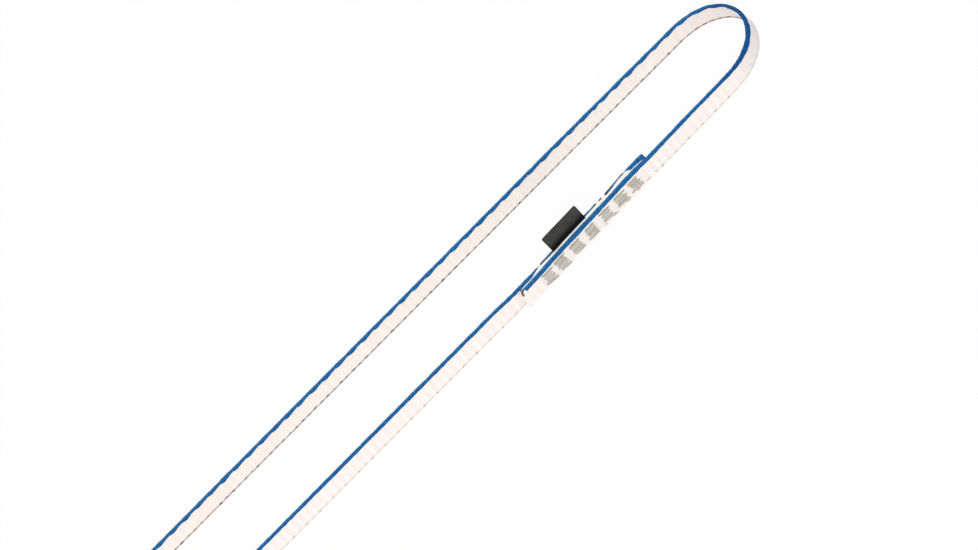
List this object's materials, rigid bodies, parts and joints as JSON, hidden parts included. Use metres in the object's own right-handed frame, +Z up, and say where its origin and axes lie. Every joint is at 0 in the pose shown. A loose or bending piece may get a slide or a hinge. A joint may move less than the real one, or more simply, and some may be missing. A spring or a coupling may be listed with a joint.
{
  "type": "climbing sling",
  "caption": "Sewn climbing sling: flat woven tape with a coloured upper edge, lapped and bar-tacked into a long loop, with a small folded label standing up from the lap.",
  "frame": {"origin": "middle of the bounding box, at the level of the edge that the tape stands on", "axes": "+X along the runs, towards the end that the sewn lap is nearer to; +Y from the run with the lap towards the plain run; +Z up, from the bound edge to the coloured edge"},
  "size_m": [0.6, 0.0474, 0.0207],
  "materials": {
    "tape_white": "woven, satin sheen",
    "edge_blue": "woven, satin sheen",
    "catch_grey": "matte thread",
    "thread_grey": "satin sewing thread",
    "label_black": "matte printed ribbon",
    "label_white": "matte ribbon"
  },
  "bodies": {
    "sling": {"webbing_ground": "tape_white", "blue_edge_yarns": "edge_blue", "lower_edge_catch_thread": "catch_grey", "bar_tack_1_needle_thread": "thread_grey", "bar_tack_1_bobbin_thread": "thread_grey", "bar_tack_2_needle_thread": "thread_grey", "bar_tack_2_bobbin_thread": "thread_grey", "bar_tack_3_needle_thread": "thread_grey", "bar_tack_3_bobbin_thread": "thread_grey", "bar_tack_4_needle_thread": "thread_grey", "bar_tack_4_bobbin_thread": "thread_grey", "bar_tack_5_needle_thread": "thread_grey", "bar_tack_5_bobbin_thread": "thread_grey", "bar_tack_6_needle_thread": "thread_grey", "bar_tack_6_bobbin_thread": "thread_grey", "bar_tack_7_needle_thread": "thread_grey", "bar_tack_7_bobbin_thread": "thread_grey", "label_sewn_tail": "label_white"},
    "label": {"label_flap": "label_black"}
  },
  "joints": [
    {"name": "label_hinge", "type": "hinge", "parent": "sling", "child": "label", "pos_m": [0.1735, -0.01992, 0.0115], "axis": [0.9995, 0.0316, 0], "range_deg": [-80, 80], "stiffness_Nm_per_rad": 0.0002}
  ]
}
